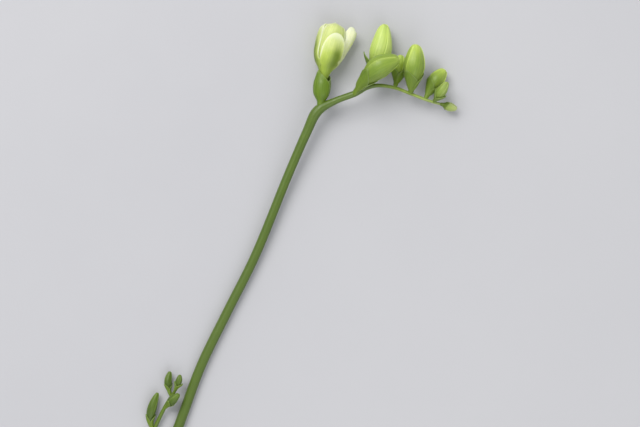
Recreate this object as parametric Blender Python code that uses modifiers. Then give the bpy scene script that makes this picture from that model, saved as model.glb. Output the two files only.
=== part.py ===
"""A cut freesia stem in bud, lying on its side: Blender 4.5, metres, +Z up.

One main axis runs from the cut end to the tip of the comb. At its bend stands an opening
flower, and along the comb stand closed buds in two ranks, each in its own cup of bracts.
Low on the stem a leaf carries a side shoot with a small comb of its own.

Every route is given in millimetres in the plane that the stem lies in: u to the right, v up
and w above the surface, all counted from the bend. The stem leans 20 degrees in that plane,
and the finished part is turned so that its long side runs along X.
"""

import math

import bmesh
import bpy
from mathutils import Quaternion, Vector

MM = 0.001

# Sizes of the main axis, in millimetres: u, v, w, radius, from the cut end to the comb's tip
STEM_LEAN_DEG = 20.0
STEM_ROUTE = [
    (-136.0, -372.0, 2.35, 2.50),
    (-128.5, -340.0, 2.30, 2.45),
    (-114.0, -285.0, 2.25, 2.40),
    (-97.0, -232.0, 2.20, 2.35),
    (-79.0, -184.0, 2.35, 2.50),
    (-62.3, -138.9, 2.15, 2.20),
    (-53.0, -114.1, 2.30, 2.15),
    (-40.9, -89.3, 2.60, 2.10),
    (-28.6, -64.5, 3.40, 2.05),
    (-14.9, -31.0, 5.40, 2.00),
    (-6.0, -10.5, 7.20, 2.10),
    (-1.2, -1.0, 8.20, 2.35),
    (6.4, 3.4, 9.00, 1.55),
    (15.5, 6.8, 9.60, 1.40),
    (20.6, 9.4, 9.80, 1.15),
    (26.0, 10.4, 9.60, 0.85),
    (33.2, 9.4, 9.00, 0.76),
    (40.3, 6.8, 8.00, 0.70),
    (46.8, 4.4, 6.60, 0.64),
    (50.6, 3.2, 5.80, 0.60),
    (53.4, 2.5, 5.10, 0.58),
]
STEM_POINTS_PER_SPAN = 3
STEM_SIDES_STEP = 3
CUT_END_SLANT_MM = 1.6

# The clearances that keep neighbouring solids apart, and the walls of thin pieces
GAP_MM = 0.35
CUP_GAP_MM = 0.45
BRACT_WALL_MM = 0.65
TEPAL_WALL_MM = 0.8

# Closed buds have three outer tepals that lap over one another
TEPALS = 3
LAP_STEP_MM = 0.45
LAP_TWIST_DEG = 38.0

# How much narrower than an even oval a bud's tip is, and how far the tops of the bracts
# stand away from it
TIP_TAPER = 0.22
NARROW_FOOT = 0.14
BRACT_STEP_MM = 0.25

# Colours and finishes: red, green, blue, roughness
STEM_GREEN = (0.16, 0.31, 0.045, 0.42)
BRACT_GREEN = (0.15, 0.30, 0.04, 0.50)
BUD_GREEN = (0.40, 0.56, 0.10, 0.45)
YOUNG_GREEN = (0.27, 0.45, 0.08, 0.48)
FLOWER_CREAM = (0.80, 0.86, 0.50, 0.50)

# The florets of the main comb, from the bend to the tip. Each has its route from the axis
# to its tip, its largest radius and where along it that lies, the height of its bracts and
# how far round the laps start. A foot is how full its lower end is where it isn't narrow, a
# flare opens the bracts by that many millimetres, and a bud at the tip continues the axis.
FLORETS = [
    {
        "name": "bud_2",
        "route": [(15.2, 6.7, 10.0), (19.8, 12.4, 14.4), (26.4, 18.2, 16.9), (34.8, 21.6, 17.2)],
        "radius": 5.2,
        "belly": 0.70,
        "foot": 0.38,
        "bracts": 14.0,
        "turn": 60.0,
    },
    {
        "name": "bud_3",
        "route": [(21.2, 9.4, 9.2), (24.6, 17.0, 6.3), (27.4, 27.6, 6.0), (28.8, 38.0, 6.0)],
        "radius": 4.9,
        "belly": 0.62,
        "bracts": 17.0,
        "turn": 0.0,
        "flare": 2.2,
    },
    {
        "name": "bud_4",
        "route": [(33.2, 9.4, 9.0), (34.4, 14.0, 6.2), (35.4, 19.5, 4.9), (36.2, 24.4, 4.5)],
        "radius": 3.1,
        "belly": 0.55,
        "foot": 0.3,
        "bracts": 10.5,
        "turn": 10.0,
    },
    {
        "name": "bud_5",
        "route": [(40.3, 6.8, 8.0), (41.0, 13.0, 11.0), (41.8, 20.6, 12.4), (42.4, 28.4, 12.6)],
        "radius": 4.7,
        "belly": 0.55,
        "foot": 0.45,
        "bracts": 11.5,
        "turn": 50.0,
    },
    {
        "name": "bud_6",
        "route": [(46.8, 4.4, 6.6), (49.2, 9.0, 5.5), (52.4, 13.8, 4.8), (55.8, 17.8, 4.5)],
        "radius": 3.7,
        "belly": 0.55,
        "foot": 0.36,
        "bracts": 9.5,
        "turn": 35.0,
    },
    {
        "name": "bud_7",
        "route": [(50.6, 3.2, 5.8), (52.0, 5.2, 9.0), (54.2, 8.2, 11.0), (56.4, 11.8, 11.8)],
        "radius": 2.2,
        "belly": 0.50,
        "foot": 0.28,
        "bracts": 6.5,
        "turn": 0.0,
    },
    {
        "name": "bud_8",
        "route": [(53.4, 2.5, 5.1), (55.6, 2.0, 4.7), (58.2, 1.1, 4.3), (61.2, 0.3, 4.0)],
        "radius": 1.9,
        "belly": 0.45,
        "bracts": 3.8,
        "turn": 60.0,
        "at_tip": True,
    },
]

# The opening flower: a narrow tube that opens into closed inner tepals, with three outer
# tepals parting from them. The profiles give radii in mm at even steps from foot to tip
FLOWER_ROUTE = [(0.2, 0.4, 8.4), (1.4, 13.0, 8.4), (4.0, 24.6, 7.2), (7.0, 38.6, 6.4)]
FLOWER_PROFILE = [0.6, 1.5, 1.7, 1.9, 2.8, 4.6, 5.8, 6.2, 6.1, 5.1, 1.8]
FLOWER_SLEEVE = [1.3, 2.8, 3.2, 2.8, 2.7, 2.7, 2.7, 2.7, 2.7, 2.7, 2.7]
FLOWER_BRACTS_MM = 14.5
FLOWER_TURN_DEG = 30.0
# Each outer tepal: where it stands round the flower (0 faces the camera, positive to its
# right), how high it reaches, how far its tip leans out in mm, its half width in mm, and
# how far it turns about its own length to show its inside
OUTER_TEPALS = [
    (16.0, 0.84, 0.5, 5.8, 0.0),
    (88.0, 0.97, 4.3, 5.9, 62.0),
    (-98.0, 0.96, 0.2, 6.2, -16.0),
]
TEPAL_ROOT = 0.36
TEPAL_LIFT_MM = 1.0
TEPAL_ROOT_DEPTH_MM = 0.25

# The side shoot: its stem, its small buds and the leaf that carries it
SIDE_ROUTE = [
    (-80.6, -186.0, 2.90, 1.10),
    (-83.2, -178.0, 2.60, 1.00),
    (-80.4, -160.0, 2.10, 0.95),
    (-75.0, -145.0, 2.30, 0.90),
    (-70.4, -135.0, 3.10, 0.85),
    (-67.4, -129.6, 3.90, 0.75),
    (-64.8, -125.8, 4.80, 0.65),
]
SIDE_FLORETS = [
    {
        "name": "side_bud_1",
        "route": [(-74.6, -144.0, 2.5), (-76.0, -138.5, 2.9), (-74.8, -132.5, 3.0), (-72.6, -126.5, 3.0)],
        "radius": 2.0,
        "belly": 0.50,
        "foot": 0.3,
        "bracts": 7.5,
        "turn": 20.0,
    },
    {
        "name": "side_bud_2",
        "route": [(-69.4, -133.4, 3.3), (-67.6, -131.6, 5.4), (-65.4, -129.2, 7.0), (-62.6, -126.6, 7.8)],
        "radius": 1.9,
        "belly": 0.50,
        "foot": 0.24,
        "bracts": 5.8,
        "turn": 65.0,
    },
    {
        "name": "side_bud_3",
        "route": [(-66.4, -128.2, 4.2), (-67.6, -124.8, 3.7), (-67.9, -121.0, 3.3), (-67.0, -117.0, 3.0)],
        "radius": 1.7,
        "belly": 0.50,
        "bracts": 5.4,
        "turn": 35.0,
    },
    {
        "name": "side_bud_4",
        "route": [(-64.8, -125.8, 4.8), (-63.8, -123.4, 5.4), (-62.8, -120.8, 5.8), (-62.4, -118.2, 6.0)],
        "radius": 1.4,
        "belly": 0.45,
        "bracts": 4.0,
        "turn": 0.0,
        "at_tip": True,
    },
]
LEAF_ROUTE = [(-82.4, -192.0, 2.4), (-88.6, -180.0, 2.2), (-91.2, -165.0, 1.6), (-90.4, -149.0, 1.0)]
LEAF_HALF_WIDTH_MM = 3.2
LEAF_WALL_MM = 0.7

# How finely each surface is divided. A large bud has more columns and rows than a small one
LARGE_BUD_RADIUS_MM = 2.5
LARGE_BUD = {"columns": 15, "rows": 11}
SMALL_BUD = {"columns": 12, "rows": 7}
LARGE_BRACT = {"columns": 16, "rows": 6}
SMALL_BRACT = {"columns": 12, "rows": 4}
TEPAL_GRID = (7, 9)
LEAF_GRID = (5, 12)


def clear_scene():
    for obj in list(bpy.data.objects):
        bpy.data.objects.remove(obj, do_unlink=True)


def new_collection(name):
    collection = bpy.data.collections.new(name)
    bpy.context.scene.collection.children.link(collection)
    return collection


def material(name, look):
    """A plain Principled BSDF material of one colour."""
    red, green, blue, roughness = look
    made = bpy.data.materials.new(name)
    made.use_nodes = True
    shader = made.node_tree.nodes["Principled BSDF"]
    shader.inputs["Base Color"].default_value = (red, green, blue, 1.0)
    shader.inputs["Roughness"].default_value = roughness
    shader.inputs["Metallic"].default_value = 0.0
    return made


def smoothstep(low, high, value):
    x = min(1.0, max(0.0, (value - low) / (high - low)))
    return x * x * (3.0 - 2.0 * x)


def spline(points, place):
    """A smooth curve through the points, as a tuple of numbers at place, from 0 to 1."""
    last = len(points) - 1
    at = min(max(place, 0.0), 1.0) * last
    span = min(int(at), last - 1)
    x = at - span
    before = points[max(span - 1, 0)]
    start, end = points[span], points[span + 1]
    after = points[min(span + 2, last)]
    return tuple(
        0.5 * (2 * b + (c - a) * x + (2 * a - 5 * b + 4 * c - d) * x**2 + (3 * b - a - 3 * c + d) * x**3)
        for a, b, c, d in zip(before, start, end, after)
    )


class Axis:
    """The middle line of a floret or a leaf, with two directions across it at each place.

    side points to the right of the line and front to the viewer above it, as near as each
    can while it stays square to the line.
    """

    def __init__(self, route, start_mm=0.0):
        self.route = route
        self.length = sum(
            (Vector(self.at(i / 40)) - Vector(self.at((i + 1) / 40))).length for i in range(40)
        )
        self.start = start_mm / self.length

    def at(self, place):
        return spline(self.route, place)

    def frame(self, t):
        """The point at t, from 0 at the foot to 1 at the tip, then along, side and front."""
        place = self.start + (1.0 - self.start) * t
        inside = min(max(place, 0.0), 1.0)
        step = 0.01
        low, high = max(inside - step, 0.0), min(inside + step, 1.0)
        along = (Vector(self.at(high)) - Vector(self.at(low))).normalized()
        side = along.cross(Vector((0.0, 0.0, 1.0))).normalized()
        front = side.cross(along).normalized()
        beyond = (place - inside) * self.length
        return Vector(self.at(inside)) + along * beyond, along, side, front


def around(axis, t, radius, angle):
    """The point at this radius from the axis. Angle 0 faces the viewer, and 90 degrees the right."""
    centre, _, side, front = axis.frame(t)
    return centre + (front * math.cos(angle) + side * math.sin(angle)) * radius


def closed_profile(radius, belly, foot=NARROW_FOOT):
    """The outline of a closed bud: its foot, a belly at this share of it, a round tip."""

    def profile(t):
        round_ends = max(0.0, 4.0 * t * (1.0 - t)) ** 0.46
        taper = 1.0 - TIP_TAPER * smoothstep(0.60, 1.0, t)
        return radius * round_ends * taper * (foot + (1.0 - foot) * smoothstep(0.03, belly, t))

    return profile


def listed_profile(radii):
    """An outline through listed radii, closed to a point at both ends of a bud."""
    return lambda t: max(0.0, spline([(r,) for r in radii], t)[0])


def lap(column, columns):
    """Where a column stands in its tepal, and how proud it is: 1 at the free edge to 0."""
    per_tepal = columns // TEPALS
    tepal, place = divmod(column, per_tepal)
    share = 0.95 * place / (per_tepal - 1)
    angle = (tepal + share) * 2.0 * math.pi / TEPALS
    return angle, 1.0 - share


def add_mesh_object(name, bm, look, collection):
    mesh = bpy.data.meshes.new(name)
    bm.to_mesh(mesh)
    bm.free()
    obj = bpy.data.objects.new(name, mesh)
    collection.objects.link(obj)
    obj.data.materials.append(look)
    obj.data.shade_smooth()
    return obj


def plane_to_part(point):
    """From the lying plane's u, v, w in millimetres to the part's own axes in metres."""
    u, v, w = point
    lean = math.radians(STEM_LEAN_DEG)
    along = u * math.sin(lean) + v * math.cos(lean)
    across = v * math.sin(lean) - u * math.cos(lean)
    return Vector((along, across, w)) * MM


def rolled_grid(columns, rows, point):
    """A grid rolled into a tube, closed along its seam. point(column, row) gives each corner."""
    bm = bmesh.new()
    bmesh.ops.create_grid(bm, x_segments=columns, y_segments=rows, size=1.0)
    for vertex in bm.verts:
        column = round((vertex.co.x + 1.0) / 2.0 * columns)
        row = round((vertex.co.y + 1.0) / 2.0 * rows)
        vertex.co = plane_to_part(point(column % columns, row))
    bmesh.ops.remove_doubles(bm, verts=bm.verts, dist=1e-6)
    return bm


def bud(name, axis, profile, turn_deg, look, collection, size):
    """A closed bud whose outer tepals lap in a slow spiral, made from a rolled grid."""
    columns, rows = size["columns"], size["rows"]
    step = min(LAP_STEP_MM, 0.12 * profile(0.6))

    def point(column, row):
        t = (1.0 - math.cos(math.pi * row / rows)) / 2.0
        angle, proud = lap(column, columns)
        swell = step * (proud - 0.5) * smoothstep(0.35, 0.6, t)
        radius = profile(t) + swell if 0 < row < rows else 0.0
        turned = angle + math.radians(turn_deg + LAP_TWIST_DEG * t)
        return around(axis, t, radius, turned)

    return add_mesh_object(name, rolled_grid(columns, rows, point), look, collection)


def bracts(name, axis, profile, height, turn_deg, look, collection, size, flare=0.0):
    """Two bracts round a bud's foot, grown together below and parted into two points above.

    flare is how far, in mm, the second of them leans away from the bud.
    """
    columns, rows = size["columns"], size["rows"]
    top = height / axis.length
    floor = GAP_MM / axis.length

    def point(column, row):
        angle = 2.0 * math.pi * column / columns
        lobe = abs(math.cos(angle)) ** 1.4
        edge = top * (0.70 + 0.30 * lobe)
        share = (row / rows) ** 1.25
        t = -floor + (edge + floor) * share
        away = BRACT_STEP_MM + flare * lobe * (1.0 - math.cos(angle)) / 2.0
        loose = away * smoothstep(0.40, 1.0, share * edge / top) * (edge / top)
        inner = profile(max(t, 0.0)) + CUP_GAP_MM + loose if row else 0.0
        return around(axis, t, inner, angle + math.radians(turn_deg))

    obj = add_mesh_object(name, rolled_grid(columns, rows, point), look, collection)
    solidify(obj, BRACT_WALL_MM)
    return obj


def solidify(obj, wall_mm):
    thick = obj.modifiers.new("wall", "SOLIDIFY")
    thick.thickness = wall_mm * MM
    thick.offset = 1.0
    thick.use_even_offset = False
    thick.use_quality_normals = True


def blade(name, corners, grid, wall_mm, look, collection):
    """A thin solid blade. corners(across, t) gives a point for across -1 to 1 and t 0 to 1."""
    columns, rows = grid
    bm = bmesh.new()
    bmesh.ops.create_grid(bm, x_segments=columns - 1, y_segments=rows - 1, size=1.0)
    for vertex in bm.verts:
        across, along = vertex.co.x, (vertex.co.y + 1.0) / 2.0
        vertex.co = plane_to_part(corners(across, along))
    bmesh.ops.triangulate(bm, faces=bm.faces)
    obj = add_mesh_object(name, bm, look, collection)
    solidify(obj, wall_mm)
    return obj


def tube(name, route, points_per_span, bevel_resolution, look, collection, extra_mm=0.0):
    """A round tube along a route of u, v, w and radius, as a poly curve with capped ends."""
    spans = len(route) - 1
    count = spans * points_per_span + 1
    curve = bpy.data.curves.new(name, "CURVE")
    curve.dimensions = "3D"
    curve.bevel_depth = MM
    curve.bevel_resolution = bevel_resolution
    curve.use_fill_caps = True
    line = curve.splines.new("POLY")
    line.points.add(count - 1)
    for index, corner in enumerate(line.points):
        u, v, w, radius = spline(route, index / (count - 1))
        corner.co = (*plane_to_part((u, v, w)), 1.0)
        corner.radius = radius + extra_mm
    obj = bpy.data.objects.new(name, curve)
    collection.objects.link(obj)
    obj.data.materials.append(look)
    return as_mesh(obj, collection)


def as_mesh(obj, collection):
    """The object's evaluated mesh as an object of its own, with its caps welded on."""
    name = obj.name
    bpy.context.view_layer.update()
    graph = bpy.context.evaluated_depsgraph_get()
    mesh = bpy.data.meshes.new_from_object(obj.evaluated_get(graph))
    matrix = obj.matrix_world.copy()
    bpy.data.objects.remove(obj, do_unlink=True)
    bm = bmesh.new()
    bm.from_mesh(mesh)
    bmesh.ops.remove_doubles(bm, verts=bm.verts, dist=1e-6)
    bmesh.ops.recalc_face_normals(bm, faces=bm.faces)
    bm.to_mesh(mesh)
    bm.free()
    made = bpy.data.objects.new(name, mesh)
    made.matrix_world = matrix
    collection.objects.link(made)
    made.data.shade_smooth()
    return made


def keep_largest(obj):
    """Drops the small shells that a union leaves where two surfaces graze each other."""
    bm = bmesh.new()
    bm.from_mesh(obj.data)
    waiting = set(bm.verts)
    shells = []
    while waiting:
        shell = [waiting.pop()]
        for vertex in shell:
            for edge in vertex.link_edges:
                other = edge.other_vert(vertex)
                if other in waiting:
                    waiting.remove(other)
                    shell.append(other)
        shells.append(shell)
    shells.sort(key=len)
    for shell in shells[:-1]:
        bmesh.ops.delete(bm, geom=shell, context="VERTS")
    bm.to_mesh(obj.data)
    bm.free()


def join_all(obj, others, collection):
    """One solid of obj and the others, which are removed."""
    group = bpy.data.collections.new("joined")
    for other in others:
        group.objects.link(other)
    union = obj.modifiers.new("join", "BOOLEAN")
    union.operation = "UNION"
    union.operand_type = "COLLECTION"
    union.collection = group
    union.solver = "EXACT"
    look = obj.data.materials[0]
    made = as_mesh(obj, collection)
    keep_largest(made)
    for other in others:
        bpy.data.objects.remove(other, do_unlink=True)
    bpy.data.collections.remove(group)
    made.data.materials.clear()
    made.data.materials.append(look)
    return made


def cut_clear(obj, cutter):
    """Cuts obj back where it would come nearer to the cutter's stem than the gap."""
    cut = obj.modifiers.new("clearance", "BOOLEAN")
    cut.operation = "DIFFERENCE"
    cut.object = cutter
    cut.solver = "EXACT"


def stem_radius_at(route, point):
    """The stem's radius at the route point that lies nearest to this one."""
    nearest = min(route, key=lambda p: (Vector(p[:3]) - Vector(point)).length)
    return nearest[3]


def floret_axis(route, stem_route, at_tip=False):
    """The axis of a bud whose bracts start just clear of the stem's skin, or of its tip."""
    skin = 0.0 if at_tip else stem_radius_at(stem_route, route[0])
    return Axis(route, skin + BRACT_WALL_MM + 2.0 * GAP_MM)


def floret(spec, stem_route, looks, collection, cutter):
    """One bud and its bracts, standing on a stem."""
    axis = floret_axis(spec["route"], stem_route, spec.get("at_tip", False))
    profile = closed_profile(spec["radius"], spec["belly"], spec.get("foot", NARROW_FOOT))
    large = spec["radius"] > LARGE_BUD_RADIUS_MM
    made_bud = bud(
        spec["name"],
        axis,
        profile,
        spec["turn"],
        looks["bud" if large else "young"],
        collection,
        LARGE_BUD if large else SMALL_BUD,
    )
    made_bracts = bracts(
        spec["name"].replace("bud", "bracts"),
        axis,
        profile,
        spec["bracts"],
        spec["turn"] + 90.0,
        looks["bract"],
        collection,
        LARGE_BRACT if large else SMALL_BRACT,
        spec.get("flare", 0.0),
    )
    for obj in (made_bud, made_bracts):
        cut_clear(obj, cutter)


def outer_tepal(name, axis, profile, place_and_size, look, collection):
    """One outer tepal of the opening flower, rooted in the flower's tube."""
    angle_deg, reach, lean_mm, half_width, twist_deg = place_and_size
    angle = math.radians(angle_deg)

    def corners(across, t):
        place = TEPAL_ROOT + (reach - TEPAL_ROOT) * t
        outline = 0.42 + 0.58 * math.sin(math.pi * min(1.0, 0.18 + 0.62 * t))
        tip = math.sqrt(max(0.0, 1.0 - smoothstep(0.80, 1.10, t)))
        rise = smoothstep(0.37, 0.54, place)
        lift = (TEPAL_LIFT_MM + TEPAL_ROOT_DEPTH_MM) * rise - TEPAL_ROOT_DEPTH_MM
        radius = max(profile(place), TEPAL_WALL_MM) - TEPAL_WALL_MM + lift
        lean = lean_mm * max(0.0, (t - 0.2) / 0.8) ** 2
        spread = half_width * outline * tip / max(radius + 0.4 * lean, 2.0)
        edge_curl = 0.5 * across**2 * smoothstep(0.5, 1.0, t)
        middle = around(axis, place, radius + lean, angle)
        edge = around(axis, place, radius + edge_curl, angle + across * spread)
        offset = edge - around(axis, place, radius, angle)
        turn = Quaternion(axis.frame(place)[1], -math.radians(twist_deg) * smoothstep(0.1, 0.9, t))
        return middle + turn @ offset

    return blade(name, corners, TEPAL_GRID, TEPAL_WALL_MM, look, collection)


def flower(looks, collection, cutter):
    """The opening flower: inner tepals still closed, three outer ones parting from them."""
    axis = floret_axis(FLOWER_ROUTE, STEM_ROUTE)
    profile = listed_profile(FLOWER_PROFILE)
    body = bud("flower_1", axis, profile, FLOWER_TURN_DEG, looks["flower"], collection, LARGE_BUD)
    petals = [
        outer_tepal(f"tepal_{index}", axis, profile, spec, looks["flower"], collection)
        for index, spec in enumerate(OUTER_TEPALS)
    ]
    body = join_all(body, petals, collection)
    sleeve = bracts(
        "bracts_1",
        axis,
        listed_profile(FLOWER_SLEEVE),
        FLOWER_BRACTS_MM,
        FLOWER_TURN_DEG - 85.0,
        looks["bract"],
        collection,
        LARGE_BRACT,
    )
    for obj in (body, sleeve):
        cut_clear(obj, cutter)


def leaf(looks, collection, cutter):
    """The narrow leaf below the side shoot, channelled along its middle."""
    axis = Axis(LEAF_ROUTE)

    def corners(across, t):
        centre, _, side, front = axis.frame(t)
        half = LEAF_HALF_WIDTH_MM * (1.0 - 0.88 * t**1.8) * (0.75 + 0.25 * smoothstep(0.0, 0.2, t))
        channel = 0.35 * half * across**2
        return centre + side * across * half + front * channel

    obj = blade("leaf", corners, LEAF_GRID, LEAF_WALL_MM, looks["stem"], collection)
    cut_clear(obj, cutter)


def slant_cut_end(stem, collection):
    """Trims the cut end a little aslant, as a knife leaves it."""
    end, following = Vector(STEM_ROUTE[0][:3]), Vector(STEM_ROUTE[1][:3])
    along = (plane_to_part(following) - plane_to_part(end)).normalized()
    side = along.cross(Vector((0.0, 0.0, 1.0)))
    normal = (along + side * (CUT_END_SLANT_MM / (2.0 * STEM_ROUTE[0][3]))).normalized()
    bm = bmesh.new()
    bm.from_mesh(stem.data)
    at = plane_to_part(end) + along * CUT_END_SLANT_MM * MM
    cut = bmesh.ops.bisect_plane(
        bm, geom=bm.verts[:] + bm.edges[:] + bm.faces[:], plane_co=at, plane_no=normal, clear_inner=True
    )
    rim = [item for item in cut["geom_cut"] if isinstance(item, bmesh.types.BMEdge)]
    bmesh.ops.contextual_create(bm, geom=rim)
    bmesh.ops.recalc_face_normals(bm, faces=bm.faces)
    bm.to_mesh(stem.data)
    bm.free()


def centre_on_base(collection):
    """Moves the whole part so that its box stands on Z 0 with its middle at the origin."""
    bpy.context.view_layer.update()
    graph = bpy.context.evaluated_depsgraph_get()
    corners = []
    for obj in collection.objects:
        mesh = obj.evaluated_get(graph).to_mesh()
        corners += [obj.matrix_world @ vertex.co for vertex in mesh.vertices]
    low = [min(corner[i] for corner in corners) for i in range(3)]
    high = [max(corner[i] for corner in corners) for i in range(3)]
    shift = Vector((-(low[0] + high[0]) / 2, -(low[1] + high[1]) / 2, -low[2]))
    for obj in bpy.data.objects:
        obj.location += shift
    print("centre shift in mm", [round(x / MM, 3) for x in shift])


def main():
    clear_scene()
    part = new_collection("freesia_stem")
    cutters = new_collection("cutters")
    looks = {
        "stem": material("stem_green", STEM_GREEN),
        "bract": material("bract_green", BRACT_GREEN),
        "bud": material("bud_green", BUD_GREEN),
        "young": material("young_bud_green", YOUNG_GREEN),
        "flower": material("flower_cream", FLOWER_CREAM),
    }

    stem = tube("stem", STEM_ROUTE, STEM_POINTS_PER_SPAN, STEM_SIDES_STEP, looks["stem"], part)
    slant_cut_end(stem, part)
    clearance = tube(
        "stem_clearance", STEM_ROUTE, STEM_POINTS_PER_SPAN, STEM_SIDES_STEP, looks["stem"], cutters, GAP_MM
    )
    side = tube("side_shoot", SIDE_ROUTE, STEM_POINTS_PER_SPAN, 2, looks["stem"], part)
    side_clearance = tube(
        "side_clearance", SIDE_ROUTE, STEM_POINTS_PER_SPAN, 2, looks["stem"], cutters, GAP_MM
    )
    stem = join_all(stem, [side], part)
    for cutter in (clearance, side_clearance):
        cutter.hide_render = True
        cutter.display_type = "WIRE"

    flower(looks, part, clearance)
    for spec in FLORETS:
        floret(spec, STEM_ROUTE, looks, part, clearance)
    for spec in SIDE_FLORETS:
        floret(spec, SIDE_ROUTE, looks, part, side_clearance)
    leaf(looks, part, clearance)
    centre_on_base(part)


main()
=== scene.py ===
"""The looks of a cut freesia stem that lies on its side, seen from straight above.

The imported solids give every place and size. Each piece here stands for one of them, drawn
finer: buds of overlapping tepals, cups of two bracts with pale rims, an opening flower, the
ribbed stem and a veined leaf. Routes are in millimetres in the plane that the stem lies in,
u to the right of the picture, v up it and w above the floor, counted from the stem's bend.
"""

import math

import bmesh
import bpy
from mathutils import Matrix, Quaternion, Vector


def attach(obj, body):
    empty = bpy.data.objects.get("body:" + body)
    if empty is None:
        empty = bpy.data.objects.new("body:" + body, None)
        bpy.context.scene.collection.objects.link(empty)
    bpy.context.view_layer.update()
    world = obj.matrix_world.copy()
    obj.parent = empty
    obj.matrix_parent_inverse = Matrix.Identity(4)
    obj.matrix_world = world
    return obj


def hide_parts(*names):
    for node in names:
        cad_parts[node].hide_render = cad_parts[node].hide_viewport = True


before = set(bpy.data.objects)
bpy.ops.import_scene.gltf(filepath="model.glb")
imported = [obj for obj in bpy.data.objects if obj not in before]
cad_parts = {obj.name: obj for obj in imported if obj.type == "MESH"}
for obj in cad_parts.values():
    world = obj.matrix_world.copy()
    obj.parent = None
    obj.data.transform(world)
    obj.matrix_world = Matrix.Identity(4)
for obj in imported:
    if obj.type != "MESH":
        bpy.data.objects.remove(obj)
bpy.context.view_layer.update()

MM = 0.001

# The stem's lean in the picture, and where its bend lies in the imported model's frame
STEM_LEAN_DEG = 20.0
BEND_AT_MM = (174.715, 11.525, 0.051)

# The main axis: u, v, w and radius, from the cut end to the comb's tip
STEM_ROUTE = [
    (-136.0, -372.0, 2.35, 2.50),
    (-128.5, -340.0, 2.30, 2.45),
    (-114.0, -285.0, 2.25, 2.40),
    (-97.0, -232.0, 2.20, 2.35),
    (-79.0, -184.0, 2.35, 2.50),
    (-62.3, -138.9, 2.15, 2.20),
    (-53.0, -114.1, 2.30, 2.15),
    (-40.9, -89.3, 2.60, 2.10),
    (-28.6, -64.5, 3.40, 2.05),
    (-14.9, -31.0, 5.40, 2.00),
    (-6.0, -10.5, 7.20, 2.10),
    (-1.2, -1.0, 8.20, 2.35),
    (6.4, 3.4, 9.00, 1.55),
    (15.5, 6.8, 9.60, 1.40),
    (20.6, 9.4, 9.80, 1.15),
    (26.0, 10.4, 9.60, 0.85),
    (33.2, 9.4, 9.00, 0.76),
    (40.3, 6.8, 8.00, 0.70),
    (46.8, 4.4, 6.60, 0.64),
    (50.6, 3.2, 5.80, 0.60),
    (53.4, 2.5, 5.10, 0.58),
]
SIDE_ROUTE = [
    (-80.6, -186.0, 2.90, 1.10),
    (-83.2, -178.0, 2.60, 1.00),
    (-80.4, -160.0, 2.10, 0.95),
    (-75.0, -145.0, 2.30, 0.90),
    (-70.4, -135.0, 3.10, 0.85),
    (-67.4, -129.6, 3.90, 0.75),
    (-64.8, -125.8, 4.80, 0.65),
]
CUT_SLANT_MM = 1.6

# Every closed bud of the comb and of the side shoot: its route from the axis to its tip, its
# radius, how far up its belly sits, how full its foot is where it isn't narrow, the height of
# its bracts, how far its laps are turned and how far the tip of a bract leans away. A bud at
# the tip continues the axis
BUDS = {
    "bud_2": {
        "route": [
            (15.2, 6.7, 10.0), (19.8, 12.4, 14.4), (26.4, 18.2, 16.9), (34.8, 21.6, 17.2),
        ],
        "look": "leaning bud",
        "radius": 5.2, "belly": 0.70, "foot": 0.38, "bracts": 14.0, "turn": 60.0,
    },
    "bud_3": {
        "route": [
            (21.2, 9.4, 9.2), (24.6, 17.0, 6.3), (27.4, 27.6, 6.0), (28.8, 38.0, 6.0),
        ],
        "look": "pale bud",
        "radius": 4.9, "belly": 0.62, "bracts": 17.0, "turn": 0.0, "flare": 2.2,
    },
    "bud_4": {
        "route": [
            (33.2, 9.4, 9.0), (34.4, 14.0, 6.2), (35.4, 19.5, 4.9), (36.2, 24.4, 4.5),
        ],
        "look": "shaded bud",
        "radius": 3.1, "belly": 0.55, "foot": 0.3, "bracts": 10.5, "turn": 10.0,
    },
    "bud_5": {
        "route": [
            (40.3, 6.8, 8.0), (41.0, 13.0, 11.0), (41.8, 20.6, 12.4), (42.4, 28.4, 12.6),
        ],
        "radius": 4.7, "belly": 0.55, "foot": 0.45, "bracts": 11.5, "turn": 50.0,
    },
    "bud_6": {
        "route": [
            (46.8, 4.4, 6.6), (49.2, 9.0, 5.5), (52.4, 13.8, 4.8), (55.8, 17.8, 4.5),
        ],
        "radius": 3.7, "belly": 0.55, "foot": 0.36, "bracts": 9.5, "turn": 35.0,
    },
    "bud_7": {
        "route": [
            (50.6, 3.2, 5.8), (52.0, 5.2, 9.0), (54.2, 8.2, 11.0), (56.4, 11.8, 11.8),
        ],
        "radius": 2.2, "belly": 0.50, "foot": 0.28, "bracts": 6.5, "turn": 0.0,
    },
    "bud_8": {
        "route": [
            (53.4, 2.5, 5.1), (55.6, 2.0, 4.7), (58.2, 1.1, 4.3), (61.2, 0.3, 4.0),
        ],
        "look": "last bud",
        "radius": 1.9, "belly": 0.45, "bracts": 3.8, "turn": 60.0, "at_tip": True,
    },
}
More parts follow.
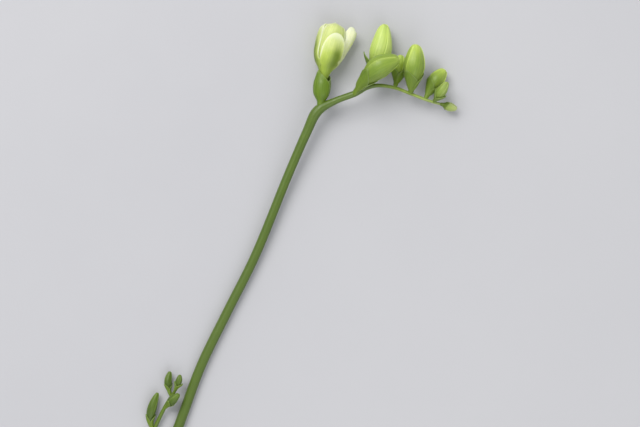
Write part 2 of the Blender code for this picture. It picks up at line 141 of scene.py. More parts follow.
SIDE_BUDS = {
    "side_bud_1": {
        "route": [
            (-74.6, -144.0, 2.5), (-76.0, -138.5, 2.9), (-74.8, -132.5, 3.0), (-72.6, -126.5, 3.0),
        ],
        "radius": 2.0, "belly": 0.50, "foot": 0.3, "bracts": 7.5, "turn": 20.0,
    },
    "side_bud_2": {
        "route": [
            (-69.4, -133.4, 3.3), (-67.6, -131.6, 5.4), (-65.4, -129.2, 7.0), (-62.6, -126.6, 7.8),
        ],
        "radius": 1.9, "belly": 0.50, "foot": 0.24, "bracts": 5.8, "turn": 65.0,
    },
    "side_bud_3": {
        "route": [
            (-66.4, -128.2, 4.2), (-67.6, -124.8, 3.7), (-67.9, -121.0, 3.3), (-67.0, -117.0, 3.0),
        ],
        "radius": 1.7, "belly": 0.50, "bracts": 5.4, "turn": 35.0,
    },
    "side_bud_4": {
        "route": [
            (-64.8, -125.8, 4.8), (-63.8, -123.4, 5.4), (-62.8, -120.8, 5.8), (-62.4, -118.2, 6.0),
        ],
        "radius": 1.4, "belly": 0.45, "bracts": 4.0, "turn": 0.0, "at_tip": True,
    },
}

# The opening flower. The profiles give radii in mm at even steps from foot to tip
FLOWER_ROUTE = [(0.2, 0.4, 8.4), (1.4, 13.0, 8.4), (4.0, 24.6, 7.2), (7.0, 38.6, 6.4)]
FLOWER_PROFILE = [0.6, 1.5, 1.7, 1.9, 2.8, 4.6, 5.8, 6.2, 6.1, 5.1, 1.8]
FLOWER_TURN_DEG = 30.0
FLOWER_LAP_STEP_MM = 0.2
# Each outer tepal: its place round the flower, its reach, its tip's lean outward in mm, its
# half width in mm and how far it turns to show its inside
OUTER_TEPALS = [
    (16.0, 0.84, 0.5, 5.8, 0.0),
    (88.0, 0.98, 4.9, 6.6, 62.0),
    (-98.0, 0.96, 0.2, 6.2, -16.0),
]
TEPAL_ROOT = 0.28
# For each of them, the half angle in radians that it takes of the flower's tube, and how
# proud of the closed inner tepals it lies, in mm
TEPAL_SEATS = [(0.95, 0.55), (0.36, 0.55), (0.95, 0.95)]
TUBE_CLEARANCE_MM = 0.20
EDGE_WAVE_MM = 0.16
# The sleeve of bracts round its foot, which stays wide further up than a bud's cup does
SLEEVE_PROFILE = [1.3, 2.8, 3.2, 2.8, 2.7, 2.7, 2.7, 2.7, 2.7, 2.7, 2.7]
SLEEVE_MM = 14.5
SLEEVE_TURN_DEG = FLOWER_TURN_DEG - 85.0
SLEEVE_NECK_MM = 1.7
SLEEVE_STEM_MM = 2.0
SLEEVE_FULL = 0.62

LEAF_ROUTE = [
    (-82.4, -192.0, 2.4), (-88.6, -180.0, 2.2), (-91.2, -165.0, 1.6), (-90.4, -149.0, 1.0),
]
LEAF_HALF_WIDTH_MM = 3.2

# The solids keep a bract's wall and two gaps between the stem's skin and a floret's foot
SOLID_WALL_MM = 0.65
SOLID_GAP_MM = 0.35
FOOT_MM = SOLID_WALL_MM + 2 * SOLID_GAP_MM

# Walls of the pieces here
TEPAL_WALL_MM = 0.32
BRACT_WALL_MM = 0.30
LEAF_WALL_MM = 0.5

# A closed bud: its outer tepals, how far round it each goes, how far they turn from foot to
# tip, and the step at each lap, which is a share of the radius on a small bud. The inner
# tepals within are one core
TEPALS = 3
TEPAL_ARC_DEG = 152.0
TWIST_DEG = 38.0
LAP_STEP_MM = 0.45
LAP_STEP_SHARE = 0.12
TEPAL_FOOT = 0.02
TEPAL_TIP = 0.9995
TEPAL_KEEL_MM = 0.10
TEPAL_RIPPLE_MM = 0.035
CORE_SPAN = 0.97
CORE_SHARE = 0.90
TIP_TAPER = 0.22
NARROW_FOOT = 0.14

# A cup of two bracts: how high each reaches and how far it stands out at its foot, how far
# round it goes to each side, how far up it stays wide, its room round the bud, its keel, how
# close its tip hugs the bud, and its neck where it leaves the stem
BRACTS = [(1.0, 0.42), (0.92, 0.15)]
BRACT_HALF_ARC_DEG = 118.0
BRACT_FULL = 0.38
BRACT_ROOM_MM = 0.42
BRACT_KEEL_MM = 0.22
TIP_HUG_MM = 0.12
ROOT_SHARE = 0.8
WIDE_NECK_MM = 1.2
NECK_MM = 0.5
NECK_SHARE = 0.16

# How finely surfaces are divided. The grids are columns across and rows along
AXIS_STEPS = 40
TANGENT_STEP = 0.01
LARGE_BUD_MM = 2.5
LARGE_FINE = 18
SMALL_FINE = 12
FLOWER_FINE = 20
STEM_GRID = (36, 420)
SIDE_STEM_GRID = (20, 90)
CUT_GRID = (36, 8)
LEAF_GRID = (44, 90)
OUTER_TEPAL_GRID = (44, 64)

# Colours in linear red, green and blue. Stops give a place along a piece, from its foot at 0
# to its tip at 1, and the colour there. The sleeve and the cups have a colour at their foot
# and one at their top, and a bud has four: foot, middle, upper part and tip
STEM_STOPS = [
    (0.0, (0.082, 0.136, 0.012)), (0.45, (0.090, 0.150, 0.013)),
    (0.70, (0.110, 0.176, 0.015)), (0.83, (0.215, 0.295, 0.032)),
    (0.87, (0.330, 0.425, 0.095)), (1.0, (0.330, 0.420, 0.120)),
]
SIDE_STEM_STOPS = [(0.0, (0.090, 0.150, 0.013)), (1.0, (0.130, 0.205, 0.018))]
PITH_STOPS = [(0.0, (0.17, 0.27, 0.07)), (0.35, (0.42, 0.52, 0.22)), (1.0, (0.62, 0.68, 0.38))]
LEAF_STOPS = [(0.0, (0.095, 0.16, 0.015)), (1.0, (0.080, 0.14, 0.014))]
LEAF_RIM = (0.24, 0.38, 0.08)
SLEEVE_COLOURS = ((0.120, 0.205, 0.007), (0.135, 0.225, 0.009))
CUP_COLOURS = ((0.175, 0.260, 0.022), (0.135, 0.215, 0.014))
BRACT_RIM = (0.27, 0.38, 0.10)
BUD_COLOURS = {
    "bud": (
        (0.145, 0.225, 0.018), (0.235, 0.340, 0.042), (0.46, 0.60, 0.10), (0.58, 0.72, 0.16),
    ),
    "leaning bud": (
        (0.145, 0.225, 0.018), (0.225, 0.330, 0.038), (0.285, 0.400, 0.055), (0.44, 0.56, 0.12),
    ),
    "pale bud": (
        (0.21, 0.31, 0.03), (0.54, 0.68, 0.17), (0.59, 0.74, 0.18), (0.58, 0.72, 0.18),
    ),
    "shaded bud": (
        (0.170, 0.260, 0.018), (0.270, 0.380, 0.035), (0.46, 0.61, 0.11), (0.54, 0.68, 0.14),
    ),
    "young bud": (
        (0.190, 0.280, 0.030), (0.260, 0.360, 0.065), (0.330, 0.430, 0.100), (0.37, 0.47, 0.14),
    ),
    "last bud": (
        (0.280, 0.370, 0.070), (0.360, 0.450, 0.130), (0.460, 0.540, 0.200), (0.56, 0.63, 0.28),
    ),
    "side bud": (
        (0.065, 0.115, 0.009), (0.085, 0.145, 0.011), (0.120, 0.195, 0.018), (0.17, 0.26, 0.035),
    ),
}
BUD_RIM_GAIN = 1.15
INNER_STOPS = [
    (0.0, (0.19, 0.30, 0.025)), (0.40, (0.27, 0.39, 0.040)),
    (0.58, (0.56, 0.67, 0.17)), (1.0, (0.76, 0.83, 0.36)),
]
OUTER_STOPS = [
    (0.0, (0.25, 0.37, 0.030)), (0.25, (0.33, 0.45, 0.050)),
    (0.60, (0.50, 0.62, 0.12)), (1.0, (0.78, 0.85, 0.40)),
]
# Painted shade: the dark green of a broad band up the outer tepals, which stands for their shadow
# side
OUTER_PAINTED_SHADE = (0.135, 0.205, 0.013)
PALE_STOPS = [
    (0.0, (0.27, 0.39, 0.035)), (0.22, (0.38, 0.51, 0.080)),
    (0.48, (0.84, 0.89, 0.46)), (1.0, (0.92, 0.94, 0.66)),
]
PETAL_RIM = (0.84, 0.89, 0.60)
FLOOR_STOPS = [(0.3, (0.50, 0.50, 0.525)), (0.7, (0.54, 0.54, 0.56))]

# What veins, fine fibres and mottling multiply a colour by
VEIN_TINT = (0.62, 0.74, 0.45)
FIBRE_TINT = (1.25, 1.2, 1.3)
BLOTCH_TINT = (1.16, 1.12, 0.95)

# How light goes a little way into living tissue, the same in every material
GLOW_RADIUS = (1.0, 1.0, 0.4)
GLOW_DEPTH_M = 0.0015
BUMP_STRENGTH = 0.6
SPECULAR = 0.45

# The picture: its width in pixels, the photo's scale, how much nearer the camera is than the
# photo's was, and the middle of the view with its height above the floor
PICTURE_WIDTH_PX = 640
PHOTO_MM_PER_PIXEL = 0.62
ZOOM = 1.39
VIEW_CENTRE_MM = (0.0, -46.4)
VIEW_HEIGHT_MM = 5.0
LENS_MM = 100.0
SENSOR_MM = 36.0
CLIP_START_M = 0.01
FLOOR_HALF_M = 4.0

# Each soft box: name, place from the middle of the view in metres, size in metres, power in
# watts and colour
SOFT_BOXES = [
    ("key", (0.55, 0.75, 1.25), 1.1, 18.0, (1.0, 0.99, 0.97)),
    ("fill", (-0.9, -0.7, 1.0), 1.4, 7.0, (0.97, 0.98, 1.0)),
]
SKY_COLOUR = (0.93, 0.94, 0.96, 1.0)
SKY_STRENGTH = 0.55


def smoothstep(low, high, value):
    """0 up to low and 1 from high on, with a soft rise between them."""
    x = min(1.0, max(0.0, (value - low) / (high - low)))
    return x * x * (3.0 - 2.0 * x)


def eased(low, span, y):
    """low at y 0 and span further at y 1, in steps that are closer near both ends."""
    return low + span * (1.0 - math.cos(math.pi * y)) / 2.0


def spline(points, place):
    """A smooth curve through the points, at place from 0 to 1."""
    last = len(points) - 1
    at = min(max(place, 0.0), 1.0) * last
    span = min(int(at), last - 1)
    x = at - span
    before = points[max(span - 1, 0)]
    start, end = points[span], points[span + 1]
    after = points[min(span + 2, last)]
    return tuple(
        0.5
        * (
            2 * b
            + (c - a) * x
            + (2 * a - 5 * b + 4 * c - d) * x**2
            + (3 * b - a - 3 * c + d) * x**3
        )
        for a, b, c, d in zip(before, start, end, after)
    )


def to_part(point):
    """From u, v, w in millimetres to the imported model's frame in metres."""
    u, v, w = point
    lean = math.radians(STEM_LEAN_DEG)
    along = u * math.sin(lean) + v * math.cos(lean)
    across = v * math.sin(lean) - u * math.cos(lean)
    return (Vector((along, across, w)) + Vector(BEND_AT_MM)) * MM


class Axis:
    """The middle line of a stem, floret or leaf, whose foot may start a way along its route."""

    def __init__(self, route, start_mm=0.0):
        self.route = route
        stations = [Vector(self.at(i / AXIS_STEPS)) for i in range(AXIS_STEPS + 1)]
        self.length = sum((a - b).length for a, b in zip(stations, stations[1:]))
        self.start = start_mm / self.length

    def at(self, place):
        return spline(self.route, place)

    def frame(self, t):
        """The point at t, from 0 at the foot to 1 at the tip, then along, side and front."""
        place = self.start + (1.0 - self.start) * t
        inside = min(max(place, 0.0), 1.0)
        low, high = max(inside - TANGENT_STEP, 0.0), min(inside + TANGENT_STEP, 1.0)
        along = (Vector(self.at(high)) - Vector(self.at(low))).normalized()
        side = along.cross(Vector((0.0, 0.0, 1.0))).normalized()
        front = side.cross(along).normalized()
        beyond = (place - inside) * self.length
        return Vector(self.at(inside)) + along * beyond, along, side, front

    def root(self):
        """The t at which the line leaves the middle of the stem."""
        return -self.start / (1.0 - self.start)


def around(axis, t, radius, angle):
    """The point this far from the axis. Angle 0 is towards the viewer, 90 degrees the right."""
    centre, _, side, front = axis.frame(t)
    return centre + (front * math.cos(angle) + side * math.sin(angle)) * radius


def closed_profile(radius, belly, foot=NARROW_FOOT):
    """A closed bud's radius along it: round at both ends, and slimmer at its foot and tip."""

    def profile(t):
        round_ends = max(0.0, 4.0 * t * (1.0 - t)) ** 0.46
        taper = 1.0 - TIP_TAPER * smoothstep(0.60, 1.0, t)
        return radius * round_ends * taper * (foot + (1.0 - foot) * smoothstep(0.03, belly, t))

    return profile


def listed_profile(radii):
    """A smooth radius through the listed ones, which stand at even steps."""
    return lambda t: max(0.0, spline([(r,) for r in radii], t)[0])


# Meshes


def grid_mesh(columns, rows, place, wall_mm=0.0, rolled=False):
    """A mesh from place(x, y), both from 0 to 1, with x and y kept as its UV map.

    A wall makes it a thin solid that grows inward, and rolled joins its two sides.
    """
    bm = bmesh.new()
    bmesh.ops.create_grid(bm, x_segments=columns, y_segments=rows, size=1.0)
    uv = bm.loops.layers.uv.new("uv")
    for face in bm.faces:
        for loop in face.loops:
            loop[uv].uv = ((loop.vert.co.x + 1.0) / 2.0, (loop.vert.co.y + 1.0) / 2.0)
    for vertex in bm.verts:
        vertex.co = to_part(place((vertex.co.x + 1.0) / 2.0, (vertex.co.y + 1.0) / 2.0))
    bmesh.ops.remove_doubles(bm, verts=bm.verts, dist=2e-6 if rolled else 1e-7)
    mesh = bpy.data.meshes.new("grid")
    bm.to_mesh(mesh)
    bm.free()
    if not wall_mm:
        return mesh
    sheet = bpy.data.objects.new("sheet", mesh)
    bpy.context.scene.collection.objects.link(sheet)
    thick = sheet.modifiers.new("wall", "SOLIDIFY")
    thick.thickness = wall_mm * MM
    thick.offset = -1.0
    bpy.context.view_layer.update()
    graph = bpy.context.evaluated_depsgraph_get()
    made = bpy.data.meshes.new_from_object(sheet.evaluated_get(graph))
    bpy.data.objects.remove(sheet, do_unlink=True)
    return made


def piece(name, meshes, looks, node):
    """One visible piece made of several meshes, which stands for a node of the solids.

    looks is one material for all of it, or one for each mesh.
    """
    looks = looks if isinstance(looks, list) else [looks] * len(meshes)
    kinds = list(dict.fromkeys(looks))
    bm = bmesh.new()
    for mesh, look in zip(meshes, looks):
        before = len(bm.faces)
        bm.from_mesh(mesh)
        bm.faces.ensure_lookup_table()
        for face in bm.faces[before:]:
            face.material_index = kinds.index(look)
            face.smooth = True
        bpy.data.meshes.remove(mesh)
    joined = bpy.data.meshes.new(name)
    bm.to_mesh(joined)
    bm.free()
    for kind in kinds:
        joined.materials.append(kind)
    obj = bpy.data.objects.new(name, joined)
    bpy.context.scene.collection.objects.link(obj)
    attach(obj, "root")
    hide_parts(node)


# Materials


class Nodes:
    """A short way to write a material's node tree."""

    def __init__(self, name):
        self.material = bpy.data.materials.new(name)
        self.material.use_nodes = True
        self.tree = self.material.node_tree
        self.shader = self.tree.nodes["Principled BSDF"]

    def add(self, kind, **settings):
        node = self.tree.nodes.new(kind)
        for key, value in settings.items():
            setattr(node, key, value)
        return node

    def wire(self, source, target):
        self.tree.links.new(source, target)

    def maths(self, operation, first, second=0.0):
        node = self.add("ShaderNodeMath", operation=operation)
        for socket, value in zip(node.inputs, (first, second)):
            if isinstance(value, (int, float)):
                socket.default_value = value
            else:
                self.wire(value, socket)
        return node.outputs[0]

    def span(self, value, low, high, out_low=0.0, out_high=1.0):
        """Maps value from low-high to out_low-out_high along a smooth curve."""
        node = self.add("ShaderNodeMapRange", interpolation_type="SMOOTHSTEP")
        node.inputs["From Min"].default_value = low
        node.inputs["From Max"].default_value = high
        node.inputs["To Min"].default_value = out_low
        node.inputs["To Max"].default_value = out_high
        self.wire(value, node.inputs["Value"])
        return node.outputs["Result"]

    def swayed(self, value, noise, amount):
        """value, moved to and fro by the noise around its middle."""
        centred = self.maths("SUBTRACT", noise, 0.5)
        return self.maths("ADD", value, self.maths("MULTIPLY", centred, amount))

    def ramp(self, value, stops):
        node = self.add("ShaderNodeValToRGB")
        elements = node.color_ramp.elements
        while len(elements) < len(stops):
            elements.new(0.5)
        for element, (place, colour) in zip(elements, stops):
            element.position = place
            element.color = (*colour, 1.0)
        self.wire(value, node.inputs["Fac"])
        return node.outputs["Color"]

    def mix(self, share, first, second, blend="MIX"):
        node = self.add("ShaderNodeMix", data_type="RGBA", blend_type=blend)
        sockets = (node.inputs["Factor"], node.inputs[6], node.inputs[7])
        for socket, value in zip(sockets, (share, first, second)):
            if isinstance(value, (int, float)):
                socket.default_value = value
            elif isinstance(value, tuple):
                socket.default_value = (*value, 1.0)
            else:
                self.wire(value, socket)
        return node.outputs[2]

    def noise(self, vector, scale, detail=3.0, roughness=0.5):
        node = self.add("ShaderNodeTexNoise")
        node.inputs["Scale"].default_value = scale
        node.inputs["Detail"].default_value = detail
        node.inputs["Roughness"].default_value = roughness
        self.wire(vector, node.inputs["Vector"])
        return node.outputs["Fac"]

    def stretched(self, vector, scale):
        node = self.add("ShaderNodeMapping")
        node.inputs["Scale"].default_value = scale
        self.wire(vector, node.inputs["Vector"])
        return node.outputs["Vector"]

    def finish(self, colour, rough, bump, distance_mm, sheen=0.0, glow=0.12):
        self.wire(colour, self.shader.inputs["Base Color"])
        self.wire(rough, self.shader.inputs["Roughness"])
        node = self.add("ShaderNodeBump")
        node.inputs["Strength"].default_value = BUMP_STRENGTH
        node.inputs["Distance"].default_value = distance_mm * MM
        self.wire(bump, node.inputs["Height"])
        self.wire(node.outputs["Normal"], self.shader.inputs["Normal"])
        self.shader.inputs["Subsurface Weight"].default_value = glow
        self.shader.inputs["Subsurface Radius"].default_value = GLOW_RADIUS
        self.shader.inputs["Subsurface Scale"].default_value = GLOW_DEPTH_M
        self.shader.inputs["Sheen Weight"].default_value = sheen
        self.shader.inputs["Specular IOR Level"].default_value = SPECULAR
        return self.material


def tissue(
    name, stops, veins, vein_depth, rim=None, rim_at=0.9, sides=False,
    painted_shade=None, painted_shade_at=0.5, rough=0.42, glow=0.12,
):
    """Living tissue: colour from foot to tip, veins along it, mottling and pale rims.

    stops colour it by the y of its UV map, veins is how many run side by side, rim is the colour
    that its end takes from rim_at on, sides gives the long edges the same rim, and the two after
    sides give a broad band of painted shade up it, for its shadow side: its colour, and where its
    middle lies across it.
    """
    nodes = Nodes(name)
    uv = nodes.add("ShaderNodeUVMap", uv_map="uv").outputs["UV"]
    body = nodes.add("ShaderNodeTexCoord").outputs["Object"]
    split = nodes.add("ShaderNodeSeparateXYZ")
    nodes.wire(uv, split.inputs[0])
    x, y = split.outputs["X"], split.outputs["Y"]

    blotch = nodes.noise(body, 220.0)
    colour = nodes.ramp(nodes.swayed(y, blotch, 0.16), stops)
    lines = nodes.noise(nodes.stretched(uv, (veins, 1.6, 1.0)), 1.0, detail=2.0, roughness=0.6)
    fine = nodes.noise(nodes.stretched(uv, (veins * 3.2, 5.0, 1.0)), 1.0, detail=2.0)
    for share, tint in (
        (nodes.span(lines, 0.42, 0.60, 0.0, vein_depth), VEIN_TINT),
        (nodes.span(fine, 0.50, 0.72, 0.0, 0.30), FIBRE_TINT),
        (nodes.span(blotch, 0.35, 0.70, 0.0, 0.35), BLOTCH_TINT),
    ):
        colour = nodes.mix(share, colour, nodes.mix(1.0, colour, tint, "MULTIPLY"))
    across = nodes.maths("ABSOLUTE", nodes.maths("SUBTRACT", x, 0.5))
    # A broad band of painted shade up the piece for its shadow side, darkest at its middle and
    # fading out towards its foot and tip
    if painted_shade:
        width = nodes.span(y, 0.15, 0.80, 0.40, 0.27)
        beside = nodes.maths("ABSOLUTE", nodes.maths("SUBTRACT", x, painted_shade_at))
        band = nodes.span(nodes.maths("DIVIDE", beside, width), 0.10, 1.15, 0.92, 0.0)
        band = nodes.maths("MULTIPLY", band, nodes.span(y, 0.58, 0.90, 1.0, 0.0))
        band = nodes.maths("MULTIPLY", band, nodes.span(y, 0.15, 0.38, 0.35, 1.0))
        colour = nodes.mix(band, colour, painted_shade)
    if rim:
        edge = nodes.span(nodes.swayed(y, lines, 0.12), rim_at, 1.0, 0.0, 0.8)
        if sides:
            side = nodes.span(across, 0.40, 0.50, 0.0, 0.75)
            side = nodes.maths("MULTIPLY", side, nodes.span(y, 0.35, 0.75, 0.0, 1.0))
            edge = nodes.maths("MAXIMUM", edge, side)
        colour = nodes.mix(edge, colour, rim)
    roughness = nodes.span(nodes.noise(body, 900.0), 0.3, 0.7, rough - 0.07, rough + 0.10)
    grain = nodes.noise(body, 2600.0, detail=2.0)
    ridges = nodes.maths("MULTIPLY", lines, 0.75)
    bump = nodes.maths("ADD", ridges, nodes.maths("MULTIPLY", grain, 0.25))
    return nodes.finish(colour, roughness, bump, 0.16, sheen=0.03, glow=glow)


def pith_material():
    """The cut end: pale pith with darker strands, inside a green rim."""
    nodes = Nodes("cut pith")
    body = nodes.add("ShaderNodeTexCoord").outputs["Object"]
    pores = nodes.add("ShaderNodeTexVoronoi")
    pores.inputs["Scale"].default_value = 2400.0
    nodes.wire(body, pores.inputs["Vector"])
    colour = nodes.ramp(pores.outputs["Distance"], PITH_STOPS)
    rough = nodes.span(nodes.noise(body, 1500.0), 0.3, 0.7, 0.35, 0.6)
    return nodes.finish(colour, rough, pores.outputs["Distance"], 0.2)


def bract_material(name, foot, top):
    middle = tuple((a + b) / 2 for a, b in zip(foot, top))
    return tissue(
        name, [(0.0, foot), (0.55, middle), (1.0, top)],
        veins=22.0, vein_depth=0.65, rim=BRACT_RIM, rim_at=0.90, sides=True, rough=0.46,
    )


def bud_material(name, foot, middle, upper, tip):
    rim = tuple(min(1.0, c * BUD_RIM_GAIN) for c in tip)
    return tissue(
        name, [(0.0, foot), (0.30, foot), (0.55, middle), (0.80, upper), (1.0, tip)],
        veins=16.0, vein_depth=0.45, rim=rim, rim_at=0.95, sides=True, rough=0.42, glow=0.16,
    )


def petal_material(name, stops, painted_shade=None):
    return tissue(
        name, stops, veins=18.0, vein_depth=0.25, rim=PETAL_RIM, rim_at=0.86, sides=True,
        painted_shade=painted_shade, painted_shade_at=0.68, rough=0.48, glow=0.25,
    )


def make_looks():
    """Every material of the stem, by a short name."""
    looks = {
        "stem": tissue(
            "stem skin", STEM_STOPS, veins=26.0, vein_depth=0.55, rough=0.38, glow=0.08
        ),
        "side stem": tissue(
            "side stem skin", SIDE_STEM_STOPS, veins=16.0, vein_depth=0.5, rough=0.38, glow=0.08
        ),
        "pith": pith_material(),
        "leaf": tissue(
            "leaf blade", LEAF_STOPS,
            veins=30.0, vein_depth=0.6, rim=LEAF_RIM, rim_at=0.96, sides=True,
        ),
        "sleeve": bract_material("bract", *SLEEVE_COLOURS),
        "cup": bract_material("dark bract", *CUP_COLOURS),
    }
    for name, colours in BUD_COLOURS.items():
        looks[name] = bud_material(name, *colours)
    looks["inner tepals"] = petal_material("inner tepals", INNER_STOPS)
    # The outer tepals are darkened by a band of painted shade on their shadow side
    looks["outer tepals"] = petal_material("outer tepals", OUTER_STOPS, OUTER_PAINTED_SHADE)
    looks["pale tepal"] = petal_material("pale tepal", PALE_STOPS)
    return looks


# Pieces


def stem_radius_at(route, point):
    """The radius of a stem at the point of its route that lies nearest."""
    return min(route, key=lambda p: (Vector(p[:3]) - Vector(point)).length)[3]


def floret_axis(spec, stem_route):
    """The middle line of a floret. Its foot starts clear of the stem's skin."""
    skin = 0.0 if spec.get("at_tip") else stem_radius_at(stem_route, spec["route"][0])
    return Axis(spec["route"], skin + FOOT_MM)


def tepal_sheets(axis, profile, turn_deg, fine, step_mm):
    """The outer tepals that lap round a closed bud, and the inner ones within them."""
    meshes = []
    arc = math.radians(TEPAL_ARC_DEG)
    for index in range(TEPALS):
        start = math.radians(turn_deg) + index * 2.0 * math.pi / TEPALS

        def place(x, y, start=start):
            shoulder = 1.0 - 0.10 * abs(2.0 * x - 1.0) ** 2.5
            t = eased(TEPAL_FOOT, TEPAL_TIP * shoulder - TEPAL_FOOT, y)
            lap = step_mm * (0.5 - x) * smoothstep(0.10, 0.45, t)
            ridge = math.exp(-(((x - 0.45) / 0.10) ** 2))
            keel = TEPAL_KEEL_MM * ridge * smoothstep(0.3, 0.6, t)
            ripple = TEPAL_RIPPLE_MM * math.sin(19.0 * x + 5.0 * y + 2.0 * index)
            angle = start + arc * x + math.radians(TWIST_DEG) * t
            return around(axis, t, max(0.05, profile(t) + lap + keel + ripple), angle)

        meshes.append(grid_mesh(fine * 2, int(fine * 2.4), place, TEPAL_WALL_MM))

    def core(x, y):
        t = eased(TEPAL_FOOT, CORE_SPAN, y)
        fold = 0.10 * math.cos(TEPALS * 2.0 * math.pi * x + 5.0) * smoothstep(0.7, 0.95, t)
        radius = CORE_SHARE * profile(t) - 0.1 + fold if y < 1.0 else 0.0
        return around(axis, t, max(0.0, radius), 2.0 * math.pi * x)

    meshes.append(grid_mesh(fine * 2, fine, core, rolled=True))
    return meshes


def bract_sheets(
    axis, profile, height_mm, turn_deg, neck_mm, stem_mm, fine, flare_mm=0.0, full=BRACT_FULL
):
    """Two bracts that lap round a bud's foot, each drawn out to a point.

    Their neck is as thin as the stem inside it, and widens as a branch does where it leaves
    the stem. flare is how far the tip of the second leans away from the bud, and full how
    far up a bract stays at its full width.
    """
    top = height_mm / axis.length
    low = axis.root()
    root_mm = ROOT_SHARE * stem_mm
    meshes = []
    for index, (reach, stand_mm) in enumerate(BRACTS):
        middle = math.radians(turn_deg) + index * math.pi
        outward = stand_mm * min(1.0, neck_mm / WIDE_NECK_MM)
        lean = flare_mm if index == 1 else 0.0

        def place(x, y, middle=middle, reach=reach, outward=outward, lean=lean):
            across = 2.0 * x - 1.0
            point = (1.0 - smoothstep(full, 1.0, y) ** 0.9) ** 0.62
            half = math.radians(BRACT_HALF_ARC_DEG) * point
            t = low + (top * reach - low) * y - 0.012 * across**2 * point
            foot = max(t, 0.0)
            inside = min(1.0, max(0.0, 1.0 - t / low)) if low < 0.0 else 1.0
            neck = root_mm + (neck_mm - root_mm) * smoothstep(0.0, 1.0, inside)
            keel = BRACT_KEEL_MM * math.exp(-((across * 3.2) ** 2)) * smoothstep(0.1, 0.5, y)
            body = profile(foot) + BRACT_ROOM_MM + outward * smoothstep(0.0, 0.25, foot / top)
            away = lean * smoothstep(0.40, 1.0, y) ** 1.2 - TIP_HUG_MM * smoothstep(0.55, 1.0, y)
            radius = (max(neck_mm, body) if t > 0.0 else neck) + away + keel
            return around(axis, t, radius, middle + across * half)

        meshes.append(grid_mesh(fine * 2, fine * 2, place, BRACT_WALL_MM))
    return meshes


def bud_pieces(name, spec, stem_route, bud_look, bract_look, fine):
    """A closed bud and the cup of bracts at its foot."""
    axis = floret_axis(spec, stem_route)
    profile = closed_profile(spec["radius"], spec["belly"], spec.get("foot", NARROW_FOOT))
    step = min(LAP_STEP_MM, LAP_STEP_SHARE * spec["radius"])
    meshes = tepal_sheets(axis, profile, spec["turn"], fine, step)
    piece(f"{name}_tepals", meshes, bud_look, name)
    node = name.replace("bud", "bracts")
    stem_mm = stem_radius_at(stem_route, spec["route"][0])
    neck_mm = NECK_SHARE * spec["radius"] + NECK_MM
    cups = bract_sheets(
        axis, profile, spec["bracts"], spec["turn"] + 90.0, neck_mm, stem_mm, fine,
        spec.get("flare", 0.0),
    )
    piece(f"{node}_cup", cups, bract_look, node)


def outer_tepal_mesh(axis, profile, spec, seat, seed):
    """One outer tepal of the opening flower, with a softly waved edge."""
    angle_deg, reach, lean_mm, half_width, twist_deg = spec
    root_spread, proud_mm = seat
    angle = math.radians(angle_deg)
    lifted = -math.copysign(1.0, twist_deg)

    def place(x, y):
        across = 2.0 * x - 1.0
        shoulder = 1.0 - 0.24 * across**6 - 0.06 * across**2
        here = y * shoulder
        t = TEPAL_ROOT + (reach - TEPAL_ROOT) * here
        outline = 0.30 + 0.70 * math.sin(math.pi * min(1.0, 0.10 + 0.68 * here))
        raised = (proud_mm - TUBE_CLEARANCE_MM) * smoothstep(0.38, 0.54, t)
        radius = profile(t) + TUBE_CLEARANCE_MM + raised
        lean = lean_mm * max(0.0, (here - 0.3) / 0.7) ** 2
        close = math.sqrt(max(0.0, 1.0 - smoothstep(0.86, 1.14, here)))
        spread = half_width * outline * close / max(radius + 0.4 * lean, 2.0)
        spread = min(spread, root_spread + 1.2 * smoothstep(0.25, 0.75, here))
        late = smoothstep(0.5, 1.0, here)
        wave = EDGE_WAVE_MM * across**2 * math.sin(7.0 * here + 3.0 * across + seed) * late
        curl = (0.5 * across**2 + 0.5 * max(0.0, across) ** 4) * late
        middle = around(axis, t, radius + lean, angle)
        edge = around(axis, t, radius + curl + wave, angle + across * spread)
        offset = edge - around(axis, t, radius, angle)
        share = 0.35 + 0.65 * smoothstep(-1.0, 0.2, lifted * across)
        turned = -math.radians(twist_deg) * share * smoothstep(0.35, 0.95, here)
        return middle + Quaternion(axis.frame(t)[1], turned) @ offset

    return grid_mesh(*OUTER_TEPAL_GRID, place, TEPAL_WALL_MM)


def flower_pieces(looks):
    """The opening flower, and the sleeve of bracts round its tube."""
    axis = floret_axis({"route": FLOWER_ROUTE}, STEM_ROUTE)
    profile = listed_profile(FLOWER_PROFILE)

    def closed(t):
        return profile(t) * (1.0 - smoothstep(0.93, 1.0, t)) ** 0.5

    inner = tepal_sheets(axis, closed, FLOWER_TURN_DEG, FLOWER_FINE, FLOWER_LAP_STEP_MM)
    outer = [
        outer_tepal_mesh(axis, profile, spec, seat, 1.7 * index)
        for index, (spec, seat) in enumerate(zip(OUTER_TEPALS, TEPAL_SEATS))
    ]
    kinds = [looks["inner tepals"]] * len(inner)
    kinds += [looks["outer tepals"], looks["pale tepal"], looks["outer tepals"]]
    piece("flower_1_tepals", inner + outer, kinds, "flower_1")
    cups = bract_sheets(
        axis, listed_profile(SLEEVE_PROFILE), SLEEVE_MM, SLEEVE_TURN_DEG,
        SLEEVE_NECK_MM, SLEEVE_STEM_MM, LARGE_FINE, full=SLEEVE_FULL,
    )
    piece("bracts_1_cup", cups, looks["sleeve"], "bracts_1")


def cut_depth(sideways_mm):
    """How far in from the route's end the knife's slanted cut lies, this far to the side."""
    return CUT_SLANT_MM * (1.0 - sideways_mm / (2.0 * STEM_ROUTE[0][3]))


def tube_mesh(route, sides, rings, is_cut=False):
    """A ribbed stem along a route of u, v, w and radius, with the length along it as y."""
    axis = Axis([p[:3] for p in route])

    def place(x, y):
        radius = spline(route, y)[3]
        angle = 2.0 * math.pi * x
        rib = 1.0 + 0.014 * math.cos(9.0 * angle) + 0.008 * math.sin(37.0 * y + 3.0 * angle)
        point = around(axis, y, radius * rib, angle)
        if is_cut and y < 0.02:
            start, along, side, _ = axis.frame(0.0)
            offset = point - start
            short = cut_depth(offset.dot(side)) - offset.dot(along)
            point += along * max(0.0, short)
        return point

    return grid_mesh(sides, rings, place, rolled=True)


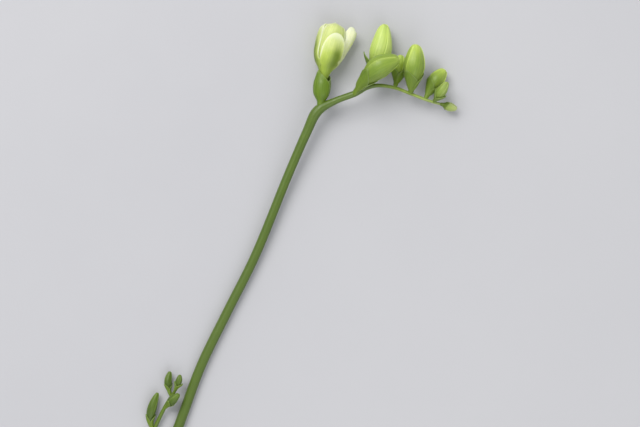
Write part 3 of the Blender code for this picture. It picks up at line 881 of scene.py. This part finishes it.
def cut_end_mesh():
    """The pale face of the cut, a little aslant and hollowed at its middle."""
    axis = Axis([p[:3] for p in STEM_ROUTE])
    start, along, side, front = axis.frame(0.0)
    radius = STEM_ROUTE[0][3]

    def place(x, y):
        angle = 2.0 * math.pi * x
        offset = (front * math.cos(angle) + side * math.sin(angle)) * radius * y
        hollow = 0.25 * (1.0 - y * y)
        return start + offset + along * (cut_depth(offset.dot(side)) + hollow)

    return grid_mesh(*CUT_GRID, place, rolled=True)


def stem_piece(looks):
    meshes = [
        tube_mesh(STEM_ROUTE, *STEM_GRID, is_cut=True),
        tube_mesh(SIDE_ROUTE, *SIDE_STEM_GRID),
        cut_end_mesh(),
    ]
    kinds = [looks["stem"], looks["side stem"], looks["pith"]]
    piece("stem_skin", meshes, kinds, "stem")


def leaf_piece(looks):
    axis = Axis(LEAF_ROUTE)

    def place(x, y):
        across = 2.0 * x - 1.0
        centre, _, side, front = axis.frame(y)
        half = LEAF_HALF_WIDTH_MM * (1.0 - 0.94 * y**1.8) * (0.75 + 0.25 * smoothstep(0.0, 0.2, y))
        half *= math.sqrt(max(0.02, 1.0 - smoothstep(0.86, 1.0, y)))
        channel = 0.35 * half * across**2 + 0.35
        ribs = 0.03 * math.cos(13.0 * math.pi * across)
        return centre + side * across * half + front * (channel + ribs)

    blade = grid_mesh(*LEAF_GRID, place, LEAF_WALL_MM)
    piece("leaf_blade", [blade], looks["leaf"], "leaf")


def floor():
    """A plain pale surface, larger than any view of it."""
    bm = bmesh.new()
    bmesh.ops.create_grid(bm, x_segments=8, y_segments=8, size=FLOOR_HALF_M)
    mesh = bpy.data.meshes.new("floor")
    bm.to_mesh(mesh)
    bm.free()
    obj = bpy.data.objects.new("floor", mesh)
    bpy.context.scene.collection.objects.link(obj)
    nodes = Nodes("pale floor")
    body = nodes.add("ShaderNodeTexCoord").outputs["Object"]
    colour = nodes.ramp(nodes.noise(body, 3.0), FLOOR_STOPS)
    rough = nodes.span(nodes.noise(body, 60.0), 0.3, 0.7, 0.75, 0.85)
    grain = nodes.noise(body, 900.0)
    obj.data.materials.append(nodes.finish(colour, rough, grain, 0.05, glow=0.0))


def soft_box(name, place, size, power, colour):
    """A round lamp at place in metres from the middle of the view, and aimed at it."""
    light = bpy.data.lights.new(name, "AREA")
    light.shape = "DISK"
    light.size = size
    light.energy = power
    light.color = colour
    obj = bpy.data.objects.new(name, light)
    bpy.context.scene.collection.objects.link(obj)
    aim = to_part((*VIEW_CENTRE_MM, 0.0))
    obj.location = aim + Vector(place)
    obj.rotation_euler = (aim - obj.location).to_track_quat("-Z", "Y").to_euler()


def lights():
    """Two soft boxes and an even pale sky, as in a studio."""
    for box in SOFT_BOXES:
        soft_box(*box)
    world = bpy.data.worlds.new("studio")
    bpy.context.scene.world = world
    world.use_nodes = True
    bpy.context.scene.view_settings.view_transform = "Standard"
    background = world.node_tree.nodes["Background"]
    background.inputs["Color"].default_value = SKY_COLOUR
    background.inputs["Strength"].default_value = SKY_STRENGTH


def camera():
    """Straight above, turned so that the stem leans as it does in the photo."""
    data = bpy.data.cameras.new("camera")
    data.sensor_width = SENSOR_MM
    data.lens = LENS_MM
    data.clip_start = CLIP_START_M
    obj = bpy.data.objects.new("camera", data)
    bpy.context.scene.collection.objects.link(obj)
    width = PICTURE_WIDTH_PX / ZOOM * PHOTO_MM_PER_PIXEL * MM
    distance = width * LENS_MM / SENSOR_MM
    centre = to_part((*VIEW_CENTRE_MM, VIEW_HEIGHT_MM))
    right = (to_part((1.0, 0.0, 0.0)) - to_part((0.0, 0.0, 0.0))).normalized()
    up = (to_part((0.0, 1.0, 0.0)) - to_part((0.0, 0.0, 0.0))).normalized()
    turned = Matrix((right, up, right.cross(up))).transposed().to_4x4()
    turned.translation = centre + right.cross(up) * distance
    obj.matrix_world = turned
    bpy.context.scene.camera = obj


def main():
    looks = make_looks()
    stem_piece(looks)
    leaf_piece(looks)
    flower_pieces(looks)
    for name, spec in BUDS.items():
        large = spec["radius"] > LARGE_BUD_MM
        look = looks[spec.get("look", "bud" if large else "young bud")]
        fine = LARGE_FINE if large else SMALL_FINE
        bud_pieces(name, spec, STEM_ROUTE, look, looks["cup"], fine)
    for name, spec in SIDE_BUDS.items():
        bud_pieces(
            name, spec, SIDE_ROUTE, looks["side bud"], looks["cup"], SMALL_FINE
        )
    floor()
    lights()
    camera()


main()
